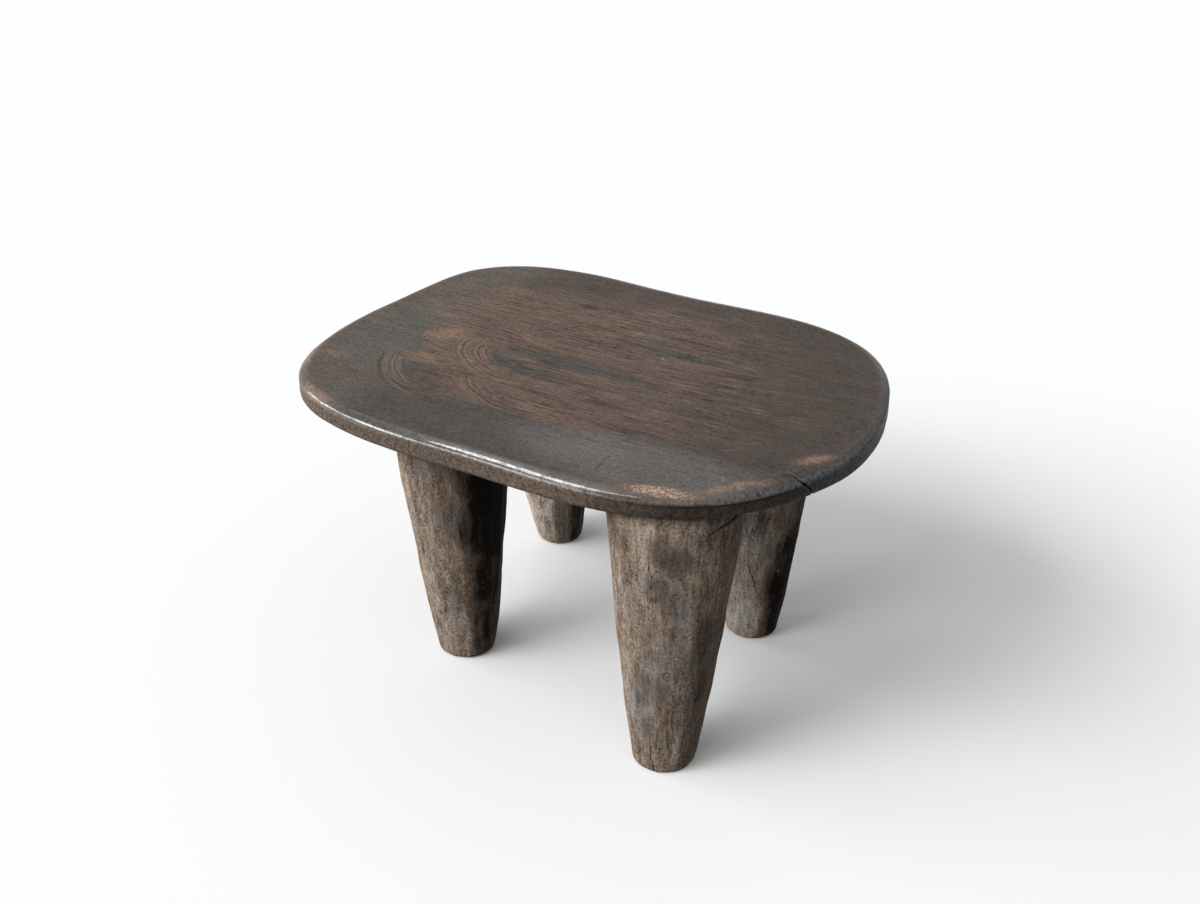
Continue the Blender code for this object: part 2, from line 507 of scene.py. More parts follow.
def sector(turn, middle, width):
    """1 at a turn about the seat, in degrees, fading to 0 at its width away."""
    away = (math.degrees(turn) - middle + 180) % 360 - 180
    return 1 - smooth(abs(away), width * SECTOR_FULL, width)


def roll_reach(turn):
    """How far in the top's edge slopes."""
    wander = wobble(math.cos(turn) * 3, math.sin(turn) * 3, 1.7)
    return (ROLL_REACH["least"] + ROLL_REACH["worn"] * sector(turn, *WORN_SECTOR)
            + ROLL_REACH["right"] * sector(turn, *RIGHT_SECTOR) + ROLL_REACH["uneven"] * wander)


def rim_profile(level, turn):
    """Inset from the outline and height above the underside, from bottom edge to top edge."""
    if level < BOTTOM_SHARE:
        angle = (level / BOTTOM_SHARE) * math.pi / 2
        return BOTTOM_ROUND * (1 - math.sin(angle)), BOTTOM_ROUND * (1 - math.cos(angle))
    worn = sector(turn, *WORN_SECTOR)
    reach, drop = roll_reach(turn), ROLL_DROP["least"] + ROLL_DROP["worn"] * worn
    arris = ARRIS_REACH * (1 + worn)
    steepest = 2 * drop / reach * (1 - arris / reach)
    shoulder = SEAT_THICKNESS - drop * (1 - arris / reach) ** 2
    corner = shoulder - steepest * arris
    side_top = corner - arris
    if level < SIDE_SHARE:
        share = (level - BOTTOM_SHARE) / (SIDE_SHARE - BOTTOM_SHARE)
        return 0.0, between(BOTTOM_ROUND, side_top, share)
    if level < ARRIS_SHARE:
        share = (level - SIDE_SHARE) / (ARRIS_SHARE - SIDE_SHARE)
        return arris * share ** 2, (side_top * (1 - share) ** 2 + 2 * corner * share * (1 - share)
                                    + shoulder * share ** 2)
    inset = between(arris, reach, (level - ARRIS_SHARE) / (1 - ARRIS_SHARE))
    return inset, SEAT_THICKNESS - drop * (1 - inset / reach) ** 2


def bead(inset, turn):
    """A low ridge along the front, left between two cuts of the blade."""
    lift = math.exp(-((inset - BEAD_INSET) / BEAD_WIDTH) ** 2)
    return BEAD_HEIGHT * lift * sector(turn, *BEAD_SECTOR)


print("roll at the front left:", round(roll_reach(math.radians(-140)), 4))

# %% Unevenness of the carving
STEP_HEIGHT = 0.0106
STEP_FADE = 0.0009
STEP_DEPTH = 0.0012
STEP_SECTOR = (-42, 34)
KEPT_IN = 0.0005
RIM_WAVES = [(0.0005, 24, 3.1), (0.00025, 90, 7.7)]  # height, waves per metre, seed
HALF_LENGTH, HALF_WIDTH = SEAT_LENGTH / 2, SEAT_WIDTH / 2


def keep(piece, label, values):
    """Stores one number for each point of a piece, for its finish to read."""
    piece.data.attributes.new(label, "FLOAT", "POINT").data.foreach_set("value", values)


def waves(point, layers):
    """Slow noise at a point, in layers of different size."""
    return sum(height * wobble(point[0] * scale, point[1] * scale, point[2] * scale + seed)
               for height, scale, seed in layers)


def seat_place(turn, reach, inset):
    edge = seat_edge(turn)
    return (edge[0] * reach * (1 - inset / HALF_LENGTH),
            edge[1] * reach * (1 - inset / HALF_WIDTH))


def carved_rim(level, turn):
    """The rim's profile with its step at the front right and the unevenness of the tools."""
    inset, height = rim_profile(level, turn)
    below_step = smooth(height, STEP_HEIGHT + STEP_FADE, STEP_HEIGHT)
    inset += STEP_DEPTH * sector(turn, *STEP_SECTOR) * below_step
    wave = waves((*seat_place(turn, 1, inset), height), RIM_WAVES)
    inset = max(inset + KEPT_IN + wave, 0)
    return inset, height + bead(inset, turn)


print("rim at the front:", neat(carved_rim(1, math.radians(-90))))

# %% Carve every point
ON_RIM = 0.9995
DISH_DEPTH = 0.0030
DISH_EDGE = 0.93
DISH_FULLNESS = 1.25
TOP_SINK = 0.0003
TOP_FADE = 0.012
TOP_WAVES = [(0.00055, 26, 5.3), (0.00016, 120, 9.9)]
ALONG_GRAIN = 0.35
UNDERSIDE_WAVES = [(0.0006, 30, 2.2), (0.0003, 110, 4.4)]
UNDERSIDE_FADE = (1, 0.96)
UNDERSIDE_LEAST = -0.0005
UNDER_EDGE = (0.0022, 0.0004)
FAR_FROM_EDGE = -0.05
from_edge = [FAR_FROM_EDGE] * len(seat.data.vertices)
underside = [0.0] * len(seat.data.vertices)

for vertex in seat.data.vertices:
    turn = math.atan2(vertex.co.y, vertex.co.x)
    reach = min(math.hypot(vertex.co.x, vertex.co.y) / HALF_LENGTH, 1)
    level = (vertex.co.z - SEAT_UNDERSIDE) / SEAT_THICKNESS
    if reach > ON_RIM:
        inset, height = carved_rim(level, turn)
        across, along = seat_place(turn, 1, inset)
        from_edge[vertex.index] = inset - (SEAT_THICKNESS - height)
        underside[vertex.index] = smooth(height, *UNDER_EDGE)
    elif level > 0.5:
        roll = carved_rim(1, turn)[0]
        across, along = seat_place(turn, reach, roll)
        inset = roll + (1 - reach) * math.hypot(*seat_edge(turn))
        dish = DISH_DEPTH * max(1 - (reach / DISH_EDGE) ** 2, 0) ** DISH_FULLNESS
        wave = waves((across * ALONG_GRAIN, along, 0), TOP_WAVES)
        height = SEAT_THICKNESS - dish + bead(inset, turn)
        height += (wave - TOP_SINK) * smooth(inset, roll, roll + TOP_FADE)
        from_edge[vertex.index] = inset
    else:
        across, along = seat_place(turn, reach, carved_rim(0, turn)[0])
        wave = waves((across, along, 0), UNDERSIDE_WAVES)
        height = max(wave * smooth(reach, *UNDERSIDE_FADE), UNDERSIDE_LEAST)
        underside[vertex.index] = 1.0
    vertex.co = (across, along, SEAT_UNDERSIDE + height)

seat.data.update()
keep(seat, "from_edge", from_edge)
keep(seat, "underside", underside)
print("carved seat from", neat(seat.bound_box[0]), "to", neat(seat.bound_box[6]))

# %% [markdown]
# ## Seat: the drying crack
#
# Near the front right corner the seat has split along the grain, a little way across the top and
# down the whole of the rim. The cutter is a thin box, cut across into short lengths. Each length is
# moved to its place on a crooked line, facing out of the wood there, and a Boolean takes the
# sliver away.

# %% Where the crack runs
CRACK_OUTWARD = Vector((0.902, -0.431, 0))
UPWARD = Vector((0, 0, 1))
CRACK_LINE = [  # place, share of the outward direction, width, depth
    ((0.1692, -0.0701, 0.2353), 0.0, 0.0002, 0.0008),
    ((0.1750, -0.0708, 0.2353), 0.0, 0.0006, 0.0014),
    ((0.1810, -0.0718, 0.2352), 0.0, 0.0009, 0.0022),
    ((0.1856, -0.0731, 0.2350), 0.0, 0.0019, 0.0036),
    ((0.1895, -0.0745, 0.2343), 0.4, 0.0030, 0.0055),
    ((0.1930, -0.0728, 0.2306), 0.7, 0.0034, 0.0070),
    ((0.1957, -0.0677, 0.2250), 1.0, 0.0032, 0.0070),
    ((0.1972, -0.0645, 0.2190), 1.0, 0.0028, 0.0060),
    ((0.1980, -0.0628, 0.2150), 1.0, 0.0026, 0.0060),
]
CRACK_CLEAR = 0.003
CRACK_FLOOR = 0.4
print("crack of", len(CRACK_LINE), "points")

# %% Cut the crack
def cut_away(piece, stops, place_at):
    """Cuts a thin box out of a piece, with its points placed stop by stop along a line."""
    bpy.ops.mesh.primitive_cube_add(size=1)
    box = bpy.context.object
    bpy.ops.object.mode_set(mode="EDIT")
    bpy.ops.mesh.select_mode(type="EDGE")
    pick(box, edges=lambda e: abs(e.verts[0].co.x - e.verts[1].co.x) > 0.5)
    bpy.ops.mesh.subdivide(number_cuts=stops - 1)
    bpy.ops.object.mode_set(mode="OBJECT")
    for vertex in box.data.vertices:
        stop = round((vertex.co.x + 0.5) * stops)
        vertex.co = place_at(stop, vertex.co.y, vertex.co.z > 0)
    bpy.ops.object.mode_set(mode="EDIT")
    bpy.ops.mesh.select_all(action="SELECT")
    bpy.ops.mesh.normals_make_consistent(inside=False)
    bpy.ops.object.mode_set(mode="OBJECT")
    before = len(piece.data.polygons)
    modify(piece, "BOOLEAN", operation="DIFFERENCE", solver="EXACT", object=box)
    bpy.data.objects.remove(box)
    print(piece.name, "cut:", before, "to", len(piece.data.polygons), "faces")


def crack_place(stop, across, mouth):
    """A point of the crack's cutter: its stop, its side, and whether it is at the mouth."""
    here, outward, width, depth = CRACK_LINE[stop]
    ahead = Vector(CRACK_LINE[min(stop + 1, len(CRACK_LINE) - 1)][0])
    behind = Vector(CRACK_LINE[max(stop - 1, 0)][0])
    facing = UPWARD.lerp(CRACK_OUTWARD, outward).normalized()
    aside = facing.cross(ahead - behind).normalized()
    reach, share = (CRACK_CLEAR, 1.0) if mouth else (-depth, CRACK_FLOOR)
    return Vector(here) + facing * reach + aside * across * width * share


cut_away(seat, len(CRACK_LINE) - 1, crack_place)

# %% [markdown]
# ## Legs: the blanks
#
# Each leg is a tapered post, hewn down its length with an adze, so it has a dozen or so long flat
# facets with soft corners between them. A plain many-sided cone would be too regular. The leg
# starts as a cylinder with eight columns to each facet and is cut into rows. Then the points on
# the corners go to uneven turns that wander with height, and the points between them lie on the
# flats.

# %% What is known of each leg
LEG_TOP = SEAT_UNDERSIDE + 0.0010
FOOT_EDGE = 0.0028
FOOT_EDGE_STEPS = 6
LEG_FULLNESS = 0.8
FACETS = 13
COLUMNS_PER_FACET = 8
LEG_ROWS = 74
TINY = 1e-6
LEG_FACTS = ("top", "foot", "radii", "corner", "seed", "softness", "sooty_shaded_from", "sooty_shaded_high",
             "sooty_shaded_soft", "soot_and_shade", "soot_and_shade_low", "ashy", "smudgy", "painted_light", "painted_light_high")
# The values after softness set each leg's soot and painted shade on the side turned from the light,
# its ash and smudges, and the painted light on its lit front.
LEG_VALUES = {
    "front_left_leg": ((-0.0871, -0.0671), (-0.0849, -0.0619), (0.0215, 0.0454), -51, 11, 0.26,
                       -48, -24, 14, 1.00, 0.55, 0.10, 0.05, 0.46, 1.0),
    "front_right_leg": ((0.1095, -0.0898), (0.1124, -0.1055), (0.0217, 0.0489), -76, 23, 0.40,
                        -36, 0, 14, 0.42, 0.36, 0.15, 0.00, 0.32, 1.0),
    "rear_right_leg": ((0.0972, 0.0778), (0.1000, 0.0704), (0.0199, 0.0466), -46, 37, 0.40,
                       -62, 0, 40, 0.62, 0.70, 0.55, 0.30, 1.45, 1.0),
    "rear_left_leg": ((-0.1063, 0.0915), (-0.1048, 0.1132), (0.0183, 0.0460), -35, 41, 0.12,
                      -36, 0, 14, 0.70, 0.50, 0.30, 0.08, 1.90, 0.3),
}
LEGS = {name: dict(zip(LEG_FACTS, values)) for name, values in LEG_VALUES.items()}


def leg_axis(leg, share):
    """Middle and radius of a leg at a share of its height."""
    across, along = (between(foot, top, share) for foot, top in zip(leg["foot"], leg["top"]))
    return across, along, between(*leg["radii"], share ** LEG_FULLNESS)


def leg_blank(name, leg):
    across, along, radius = leg_axis(leg, 0)
    blank = post("hewn_" + name, FACETS * COLUMNS_PER_FACET, radius, 0, LEG_TOP, (across, along))
    pick(blank, edges=lambda e: max(v.co.z for v in e.verts) < TINY)
    bpy.ops.mesh.bevel(offset=FOOT_EDGE, segments=FOOT_EDGE_STEPS, affect="EDGES")
    bpy.ops.mesh.select_mode(type="EDGE")
    pick(blank, edges=lambda e: upright(e) and max(v.co.z for v in e.verts) > LEG_TOP - TINY)
    bpy.ops.mesh.subdivide(number_cuts=LEG_ROWS - 1)
    bpy.ops.object.mode_set(mode="OBJECT")
    return blank


blanks = {name: leg_blank(name, leg) for name, leg in LEGS.items()}
print("leg blanks:", {name: len(blank.data.polygons) for name, blank in blanks.items()})

# %% [markdown]
# ## Legs: hewing
#
# A facet is not one cut but several, each a hand long and very slightly hollow, so a leg shows
# faint ridges where one stroke ends and the next begins. Some legs were rubbed rounder than others,
# and all of them are rounder at the foot, so each point lies between the flat and a round post.
# After the facets are laid, a simple subdivision gives enough points for these strokes and for a
# slow unevenness, and a Smooth modifier takes the sharpness off the corners, as handling does.

# %% Corners of a leg
CORNER_JITTER = math.radians(5.0)
BOLD_SPREAD = 0.18


def corner_turns(leg):
    """The turns of a leg's corners, starting from its boldest."""
    dice = random.Random(leg["seed"])
    gap = 2 * math.pi / FACETS
    turns = [math.radians(leg["corner"])]
    for facet in range(1, FACETS):
        turns.append(turns[0] + facet * gap + dice.uniform(-CORNER_JITTER, CORNER_JITTER))
    turns[1] += gap * BOLD_SPREAD
    turns[-1] -= gap * BOLD_SPREAD
    return turns


print("boldest corners:", {name: leg["corner"] for name, leg in LEGS.items()})

# %% Hew a leg
CORNER_WANDER = math.radians(3.5)
WANDER_NOISE = (7.3, 2.6)  # steps of the noise from corner to corner, and up the leg
LIFT_NOISE = (3.1, 3.4)
LIFT_SEED = 50
FACET_LIFT = 0.016
FACET_FIT = 1.012
ROUND_FIT = 0.988
ROUND_BELOW = 0.12
FOOT_ROUNDED = 0.35


def hew(blank, leg):
    turns = corner_turns(leg)
    count = FACETS * COLUMNS_PER_FACET
    foot_across, foot_along, foot_radius = leg_axis(leg, 0)
    for vertex in blank.data.vertices:
        turn = math.atan2(vertex.co.y - foot_along, vertex.co.x - foot_across)
        reach = math.hypot(vertex.co.y - foot_along, vertex.co.x - foot_across) / foot_radius
        share = limit(vertex.co.z / LEG_TOP)
        across, along, radius = leg_axis(leg, share)
        column = round((turn % (2 * math.pi)) / (2 * math.pi) * count) % count
        facet, step = divmod(column, COLUMNS_PER_FACET)
        corners, angles = [], []
        for corner in (facet, facet + 1):
            angle = turns[corner % FACETS] + 2 * math.pi * (corner // FACETS)
            drift = wobble(corner % FACETS * WANDER_NOISE[0], share * WANDER_NOISE[1],
                           leg["seed"])
            lift = wobble(corner % FACETS * LIFT_NOISE[0], share * LIFT_NOISE[1],
                          leg["seed"] + LIFT_SEED)
            angles.append(angle + CORNER_WANDER * drift)
            corners.append(heading(angles[-1]) * (1 + FACET_LIFT * lift))
        way = step / COLUMNS_PER_FACET
        flat = corners[0].lerp(corners[1], way)
        length = between(corners[0].length, corners[1].length, way)
        rounded = heading(between(*angles, way)) * length * ROUND_FIT
        softness = between(leg["softness"], 1, FOOT_ROUNDED * smooth(share, ROUND_BELOW, 0))
        outline = flat.lerp(rounded, softness) * (FACET_FIT * radius * reach)
        vertex.co = (across + outline.x, along + outline.y, vertex.co.z)
    blank.data.update()


for name, blank in blanks.items():
    hew(blank, LEGS[name])
print("hewn:", {name: neat(blank.dimensions, 3) for name, blank in blanks.items()})

# %% Dents and marks of each leg
DENTS = {  # turn, height, size, depth
    "front_left_leg": [(-91, 0.180, 0.010, 0.0012)],
    "front_right_leg": [(-62, 0.165, 0.016, 0.0008), (-84, 0.060, 0.013, 0.0008)],
    "rear_right_leg": [(-78, 0.090, 0.010, 0.0010)],
    "rear_left_leg": [(-80, 0.060, 0.012, 0.0007)],
}
SMUDGES_AND_SHADE = {  # turn, height, half width, half height, strength
    "front_left_leg": [(-66, 0.182, 0.015, 0.024, 0.5), (-60, 0.140, 0.012, 0.036, 0.7),
                       # these two lie beside the dark side of the leg and are painted shade that
                       # softens its edge
                       (-38, 0.178, 0.020, 0.034, 1.0), (-36, 0.130, 0.017, 0.036, 1.0),
                       (-80, 0.150, 0.010, 0.040, 0.4), (-64, 0.075, 0.006, 0.030, 0.5),
                       (-88, 0.085, 0.005, 0.035, 0.4)],
    "front_right_leg": [(-74, 0.190, 0.012, 0.016, 0.7), (-57, 0.182, 0.013, 0.018, 0.7),
                        (-77, 0.160, 0.012, 0.016, 0.7), (-64, 0.150, 0.018, 0.020, 0.5),
                        (-27, 0.117, 0.010, 0.030, 0.8), (-21, 0.080, 0.009, 0.030, 0.7),
                        (-40, 0.100, 0.008, 0.030, 0.4), (-86, 0.105, 0.016, 0.030, 0.4),
                        (-104, 0.150, 0.006, 0.050, 0.3), (-92, 0.078, 0.016, 0.030, 0.5),
                        (-66, 0.062, 0.013, 0.026, 0.5), (-88, 0.040, 0.013, 0.018, 0.5),
                        (-60, 0.122, 0.010, 0.020, 0.4), (-84, 0.128, 0.010, 0.014, 0.5)],
    "rear_right_leg": [(-43, 0.052, 0.010, 0.030, 0.9), (-60, 0.112, 0.005, 0.020, 0.8),
                       (-58, 0.080, 0.005, 0.020, 0.6), (-75, 0.060, 0.004, 0.030, 0.4),
                       (-40, 0.120, 0.008, 0.020, 0.6)],
    "rear_left_leg": [(-52, 0.020, 0.010, 0.050, 0.6)],
}
ASHY_PATCHES = {
    "front_left_leg": [(-97, 0.177, 0.012, 0.016, 0.8), (-70, 0.050, 0.014, 0.026, 0.7)],
    "front_right_leg": [(-102, 0.060, 0.016, 0.030, 0.9), (-51, 0.135, 0.011, 0.014, 0.9),
                        (-60, 0.105, 0.016, 0.030, 0.6), (-58, 0.165, 0.012, 0.008, 0.5),
                        (-80, 0.085, 0.020, 0.030, 0.5)],
    "rear_right_leg": [(-76, 0.108, 0.014, 0.030, 0.9), (-43, 0.090, 0.012, 0.016, 0.9),
                       (-85, 0.030, 0.016, 0.030, 0.9)],
    "rear_left_leg": [(-95, 0.030, 0.020, 0.050, 0.6)],
}
print("dents:", sum(len(dents) for dents in DENTS.values()))

# %% Depth of the tool marks
STROKE_LENGTH = 0.052
STROKE_HOLLOW = 0.00055
STROKE_SHIFT = 3
LEG_WAVES = (0.0007, 34)
FIBRE_WAVES = (0.00028, 190)
FIBRE_STRETCH = 0.3
DENT_STRETCH = 0.7
DENT_FADE = (0.5, 1.0)


def tool_depth(name, leg, facet, turn, radius, point):
    """How deep the tools and knocks have cut at one point of a leg."""
    stroke = point.z / STROKE_LENGTH + wobble(facet * 5.7, leg["seed"], 0) * STROKE_SHIFT
    hollow = STROKE_HOLLOW * (1 - (2 * (stroke % 1) - 1) ** 2)
    depth = hollow * (0.5 + wobble(facet * 2.9, math.floor(stroke) * 3.3, 1))
    depth += waves(point, [(*LEG_WAVES, leg["seed"])])
    depth += waves((point.x, point.y, point.z * FIBRE_STRETCH), [(*FIBRE_WAVES, leg["seed"])])
    for dent_turn, dent_height, size, dent_depth in DENTS[name]:
        gap = turn - math.radians(dent_turn)
        if math.cos(gap) > 0:
            away = math.hypot(math.sin(gap) * radius, (point.z - dent_height) * DENT_STRETCH)
            depth += dent_depth * (1 - smooth(away / size, *DENT_FADE))
    return depth


print("strokes up a leg:", round(LEG_TOP / STROKE_LENGTH, 1))

# %% Marks at a point of a leg
FRONT_TURN = math.radians(-60)
FRONT_FADE = (-0.4, 0.3)
SOOT_AND_SHADE_SPREAD = 52
SOOT_AND_SHADE_START = -6
SOOT_AND_SHADE_ENDS = (190, 120)
SOOT_AND_SHADE_SHIFTS = (0.30, 0.75)  # shares of the height
SOOT_AND_SHADE_WIDENS = (0.30, 0.70)
SOOT_AND_SHADE_DEEPENS = (0.25, 0.60)
PAINTED_LIGHT_CHANGES = (0.32, 0.62)
BACK_PAINTED_LIGHT = 0.35
BLOT_FADE = (0.2, 1.3)


def blot(marks, turn, radius, height):
    """The strongest of several soft oval marks at one point of a leg."""
    most = 0
    for mark_turn, mark_height, half_width, half_height, strength in marks:
        gap = turn - math.radians(mark_turn)
        if math.cos(gap) > 0:
            away = math.hypot(math.sin(gap) * radius / half_width,
                              (height - mark_height) / half_height)
            most = max(most, strength * (1 - smooth(away, *BLOT_FADE)))
    return most


def marks_at(name, leg, share, turn, radius, height):
    """How sooty, ashy, smudged and pale a leg is at one point. The sooty side, turned from the
    light, is partly painted shade, some smudges are painted shade, and the paleness of the lit
    front is painted light.
    """
    # The sooty side is the side turned from the light, so its soot is partly painted shade.
    start = leg["sooty_shaded_from"] + leg["sooty_shaded_high"] * smooth(share, *SOOT_AND_SHADE_SHIFTS)
    past = (math.degrees(turn) - start + 90) % 360 - 90
    fade = leg["sooty_shaded_soft"] + SOOT_AND_SHADE_SPREAD * smooth(share, *SOOT_AND_SHADE_WIDENS)
    side = smooth(past, SOOT_AND_SHADE_START, fade) * smooth(past, *SOOT_AND_SHADE_ENDS)
    front = smooth(math.cos(turn - FRONT_TURN), *FRONT_FADE)
    # Painted light: the lit side of each leg is made paler. The effect is strongest at the front,
    # weaker towards the back and on the upper part of the rear left leg, and absent on the sooty
    # side.
    higher = between(1, leg["painted_light_high"], smooth(share, *PAINTED_LIGHT_CHANGES))
    return {
        "soot_and_shade": between(leg["soot_and_shade_low"], leg["soot_and_shade"], smooth(share, *SOOT_AND_SHADE_DEEPENS)) * side,
        "ashy": max(leg["ashy"] * (1 - side), blot(ASHY_PATCHES[name], turn, radius, height)),
        "smudge_and_shade": max(leg["smudgy"], blot(SMUDGES_AND_SHADE[name], turn, radius, height)),
        "painted_light": leg["painted_light"] * higher * (1 - side) * between(BACK_PAINTED_LIGHT, 1, front),
    }


print("smudges:", sum(len(smudges) for smudges in SMUDGES_AND_SHADE.values()))

# %% Soften and mark a leg
STEEP = 0.7


def soften(blank, name, leg):
    modify(blank, "SUBSURF", subdivision_type="SIMPLE", levels=1, render_levels=1)
    modify(blank, "SMOOTH", factor=0.5, iterations=3)
    normals = [n.vector.copy() for n in blank.data.vertex_normals]
    turns = corner_turns(leg)
    marks = []
    for vertex, normal in zip(blank.data.vertices, normals):
        share = limit(vertex.co.z / LEG_TOP)
        across, along, radius = leg_axis(leg, share)
        turn = math.atan2(vertex.co.y - along, vertex.co.x - across)
        facet = max(range(FACETS), key=lambda i: math.cos(turn - turns[i] - math.pi / FACETS))
        if abs(normal.z) < STEEP:
            vertex.co -= normal * tool_depth(name, leg, facet, turn, radius, vertex.co)
        marks.append(marks_at(name, leg, share, turn, radius, vertex.co.z))
    blank.data.update()
    for label in marks[0]:
        keep(blank, label, [mark[label] for mark in marks])
    print(blank.name, "has", len(blank.data.polygons), "faces")


for name, blank in blanks.items():
    soften(blank, name, LEGS[name])

# %% [markdown]
# ## Legs: splits and chips
#
# The end grain at a foot dries first and splits, and the front right leg also has a slanting gap
# just under the seat where a chip came away. These are cut as the crack in the seat was: a thin
# box is laid into the leg, wide at its mouth, and taken away.

# %% Split the legs
SPLITS = {  # low and high turn, low and high end, width, depth
    "front_left_leg": [(-96, -96, -0.002, 0.016, 0.0012, 0.004)],
    "front_right_leg": [(-81, -88, -0.002, 0.036, 0.0022, 0.006),
                        (-80, -87, 0.156, 0.192, 0.0012, 0.004),
                        (-14, -23, 0.110, 0.206, 0.0016, 0.005),
                        (-146, -119, 0.114, 0.204, 0.0011, 0.004)],
    "rear_right_leg": [(-60, -79, 0.046, 0.078, 0.0016, 0.004),
                       (100, 100, -0.002, 0.030, 0.0014, 0.005)],
    "rear_left_leg": [(60, 60, -0.002, 0.024, 0.0014, 0.005)],
}
SPLIT_STOPS = 7
SPLIT_SWAY = 0.0008
SPLIT_CLEAR = 0.004
SPLIT_LEAST = 0.0008
SPLIT_FLOOR = 0.15
SPLIT_END_WIDTH = 0.12
SPLIT_END_DEPTH = 0.15


def split(piece, leg, low_turn, high_turn, low, high, width, depth, seed):
    dice = random.Random(seed)
    sway = [dice.uniform(-SPLIT_SWAY, SPLIT_SWAY) for _ in range(SPLIT_STOPS + 1)]

    def split_place(stop, across, mouth):
        share = stop / SPLIT_STOPS
        height = between(low, high, share)
        *middle, radius = leg_axis(leg, limit(height / LEG_TOP))
        facing = heading(math.radians(between(low_turn, high_turn, share)))
        aside = Vector((-facing.y, facing.x, 0))
        narrow = 1 - share if low <= 0 else 1 - abs(2 * share - 1)
        bottom = radius - SPLIT_LEAST - depth * between(SPLIT_END_DEPTH, 1, narrow)
        half = width * between(SPLIT_END_WIDTH, 1, narrow) * (1 if mouth else SPLIT_FLOOR)
        out = facing * (radius + SPLIT_CLEAR if mouth else bottom)
        return Vector((*middle, height)) + out + aside * (sway[stop] + across * half)

    cut_away(piece, SPLIT_STOPS, split_place)


for name, cuts in SPLITS.items():
    for number, cut in enumerate(cuts):
        split(blanks[name], LEGS[name], *cut, seed=LEGS[name]["seed"] + number)

# %% Chip the shoulder of the front right leg
CHIP_TURNS = (-36, 34)
CHIP_HEIGHTS = (0.2035, 0.2165)
CHIP_MOUTHS = (0.0016, 0.0062)
CHIP_STOPS = 7
CHIP_CURVE = 0.8
CHIP_CLEAR = 0.005
CHIP_DEPTH = 0.0055


def chip_place(stop, upward, mouth):
    share = stop / CHIP_STOPS
    height = between(*CHIP_HEIGHTS, share ** CHIP_CURVE)
    height += upward * between(*CHIP_MOUTHS, share)
    *middle, radius = leg_axis(LEGS["front_right_leg"], height / LEG_TOP)
    out = radius + CHIP_CLEAR if mouth else radius - CHIP_DEPTH
    return Vector((*middle, height)) + heading(math.radians(between(*CHIP_TURNS, share))) * out


cut_away(blanks["front_right_leg"], CHIP_STOPS, chip_place)

# %% [markdown]
# ## Finish of the seat
#
# The top has three tones. Smoke and grease make it charcoal, sitting rubs it to a reddish brown
# that keeps the lines of the grain, and in a few places it is scuffed down to tan. An image could
# show this, but a painted pattern of patches and noise stays sharp at any size. Each patch is an
# ellipse whose edge is made ragged by noise, and the grain is noise stretched along the seat.

# %% Tones of the seat
CHARCOAL = (0.078, 0.075, 0.067)
RUBBED = (0.127, 0.088, 0.069)
DEEP_BROWN = (0.082, 0.066, 0.055)
# Dark grain, also used for the painted shade in the crack and along the step under the roll.
DARK_GRAIN_AND_SHADE = (0.026, 0.022, 0.019)
SCUFFED = (0.265, 0.172, 0.122)
WORN_EDGE = (0.165, 0.112, 0.083)
KNOCKED = (0.590, 0.425, 0.325)
KNOCK_TAN = (0.275, 0.178, 0.121)
PAINTED_SHEEN_GREY = (0.146, 0.135, 0.130)
STEEL = (0.092, 0.096, 0.101)
RIM_BROWN = (0.152, 0.116, 0.092)
EDGE_BROWN = (0.040, 0.018, 0.011)
LOWER_BROWN = (0.046, 0.036, 0.030)
PALE_SCRATCH = (0.34, 0.29, 0.25)
RAW_UNDER = (0.120, 0.090, 0.068)

seat_finish, tree, seat_shader = new_finish("dark_patinated_wood")
place = source(tree, "ShaderNodeTexCoord", "Object")
across, along, up = split_axes(place)
edge, under = stored(place, "from_edge"), stored(place, "underside")

# %% Grain along the seat
def streaks_along(line, lengthwise):
    """Fine lines and short dashes that follow a line coordinate."""
    lines = cloud(join_axes(lengthwise * 16, line * 620, up * 130), 1, 1, 0.5)
    dashes = cloud(join_axes(lengthwise * 60, line * 680, up * 150), 1, 1, 0.5)
    return lines, dashes


grain_line = along + vary((cloud(stretch(place, 7, 16, 4)), 0.014))
long_lines, dashes = streaks_along(grain_line, across)
broad_grain = cloud(join_axes(across * 9, grain_line * 100, up * 60), 1, 3, 0.6)
clusters = cloud(stretch(place, 18, 40, 12), 1, 3, 0.6)
blotch = cloud(stretch(place, 34, 62, 20), 1, 4, 0.6)
dust = cloud(place, 380, 3, 0.65)
shade = cloud(place, 17, 3, 0.6)
speckle = cloud(place, 420, 3, 0.7)
print("grain ready")

# %% [markdown]
# The maker scraped the top with a curved blade. Its strokes start in a tight curve at the left and
# run out along the grain, so they read as bundles of fine arcs. Each bundle is a set of squashed
# circles about one middle, and straight to the right of it. Where a bundle lies, its lines take
# the place of the straight grain.

# %% Curved strokes of the blade
STROKES = [  # how far each is scraped to tan, and its shape
    (0.30, {"middle": (-0.060, -0.005), "squash": 0.76, "inner": 0.020, "outer": 0.046,
            "rise_from": 0.014, "ends": (-0.015, -0.060)}),
    (0.20, {"middle": (-0.010, -0.045), "squash": 0.53, "inner": 0.030, "outer": 0.045,
            "rise_from": -0.004, "ends": (0.050, -0.010)}),
    (0.90, {"middle": (-0.091, -0.035), "squash": 1.0, "inner": 0.047, "outer": 0.068,
            "rise_from": -0.010, "ends": (-0.070, -0.095)}),
]


